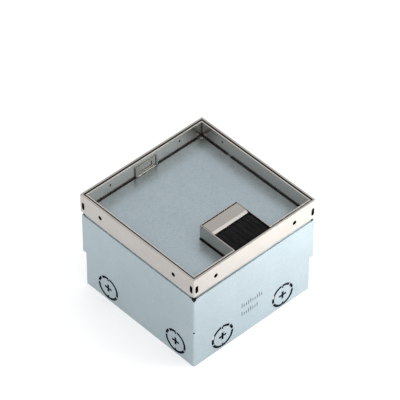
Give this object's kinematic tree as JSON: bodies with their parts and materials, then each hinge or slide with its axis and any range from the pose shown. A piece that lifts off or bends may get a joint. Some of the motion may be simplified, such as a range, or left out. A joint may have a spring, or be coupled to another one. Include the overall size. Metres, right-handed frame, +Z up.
{
  "type": "floor socket box",
  "caption": "Square in-floor socket box: stepped galvanised box, levelling stainless frame, lift-out inlay lid with hinged brush outlet.",
  "frame": {"origin": "middle of the underside of the base", "axes": "+Z up; the cable outlet is on the -Y side and the pull plate on the +Y side; the stepped walls are on +X and +Y"},
  "size_m": [0.2, 0.2, 0.148],
  "materials": {
    "galvanised_steel": "galvanised sheet, satin",
    "stainless_steel": "stainless sheet, satin",
    "zinc_plated_steel": "zinc plated, bright",
    "seal_rubber": "matte",
    "brush_fibre": "matte bristles",
    "socket_plastic": "satin gloss",
    "outlet_plastic": "satin gloss",
    "jack_plastic": "matte",
    "contact_metal": "bright"
  },
  "bodies": {
    "box": {"box_front_shell": "galvanised_steel", "box_rear_shell": "galvanised_steel", "base_pan": "galvanised_steel", "level_bracket_front": "galvanised_steel", "level_bracket_left": "galvanised_steel", "level_bracket_right": "galvanised_steel", "level_bracket_back": "galvanised_steel", "carrier_plate": "galvanised_steel", "carrier_leg_left": "galvanised_steel", "carrier_leg_right": "galvanised_steel", "carrier_screws": "zinc_plated_steel", "socket_insert_1": "socket_plastic", "socket_insert_2": "socket_plastic", "socket_insert_3": "socket_plastic", "earth_clips_1": "contact_metal", "earth_clips_2": "contact_metal", "earth_clips_3": "contact_metal", "data_outlet_1": "outlet_plastic", "data_outlet_2": "outlet_plastic", "data_jacks_1": "jack_plastic", "data_jacks_2": "jack_plastic", "blank_cover": "outlet_plastic", "tie_rail": "galvanised_steel", "earth_stud": "contact_metal"},
    "cassette": {"top_frame": "stainless_steel", "collar": "galvanised_steel", "lid_seal": "seal_rubber", "level_lug_front": "galvanised_steel", "level_lug_left": "galvanised_steel", "level_lug_right": "galvanised_steel", "level_lug_back": "galvanised_steel", "level_nuts": "zinc_plated_steel"},
    "lid": {"lid_rim": "stainless_steel", "lid_plate": "galvanised_steel", "lid_rivets": "stainless_steel", "lid_rib_front": "galvanised_steel", "lid_rib_back": "galvanised_steel", "outlet_chute": "stainless_steel", "flap_pin": "stainless_steel", "handle_guides": "stainless_steel"},
    "flap": {"outlet_flap": "stainless_steel", "brush_holder": "stainless_steel", "brush_bristles": "brush_fibre"},
    "handle": {"lift_handle": "stainless_steel"},
    "screw_front": {"level_screw_front": "zinc_plated_steel"},
    "screw_left": {"level_screw_left": "zinc_plated_steel"},
    "screw_right": {"level_screw_right": "zinc_plated_steel"},
    "screw_back": {"level_screw_back": "zinc_plated_steel"}
  },
  "joints": [
    {"name": "cassette_level", "type": "slide", "parent": "box", "child": "cassette", "axis": [0, 0, 1], "range_m": [0, 0.018]},
    {"name": "screw_turn_front", "type": "hinge", "parent": "box", "child": "screw_front", "pos_m": [-0.08, -0.08, 0.062], "axis": [0, 0, 1], "range_deg": [-6480, 0]},
    {"name": "screw_turn_left", "type": "hinge", "parent": "box", "child": "screw_left", "pos_m": [-0.08, 0.08, 0.062], "axis": [0, 0, 1], "range_deg": [-6480, 0]},
    {"name": "screw_turn_right", "type": "hinge", "parent": "box", "child": "screw_right", "pos_m": [0.08, -0.08, 0.062], "axis": [0, 0, 1], "range_deg": [-6480, 0]},
    {"name": "screw_turn_back", "type": "hinge", "parent": "box", "child": "screw_back", "pos_m": [0.08, 0.08, 0.062], "axis": [0, 0, 1], "range_deg": [-6480, 0]},
    {"name": "lid_lift", "type": "slide", "parent": "cassette", "child": "lid", "axis": [0, 0, 1], "range_m": [0, 0.08]},
    {"name": "flap_hinge", "type": "hinge", "parent": "lid", "child": "flap", "pos_m": [-0.0008, -0.03965, 0.14545], "axis": [-1, 0, 0], "range_deg": [0, 92]},
    {"name": "handle_pull", "type": "slide", "parent": "lid", "child": "handle", "axis": [0, 0, 1], "range_m": [0, 0.011]}
  ],
  "couplings": [
    {"joint": "screw_turn_front", "follows": "cassette_level", "rad_per_m": -6283.2},
    {"joint": "screw_turn_left", "follows": "cassette_level", "rad_per_m": -6283.2},
    {"joint": "screw_turn_right", "follows": "cassette_level", "rad_per_m": -6283.2},
    {"joint": "screw_turn_back", "follows": "cassette_level", "rad_per_m": -6283.2}
  ]
}
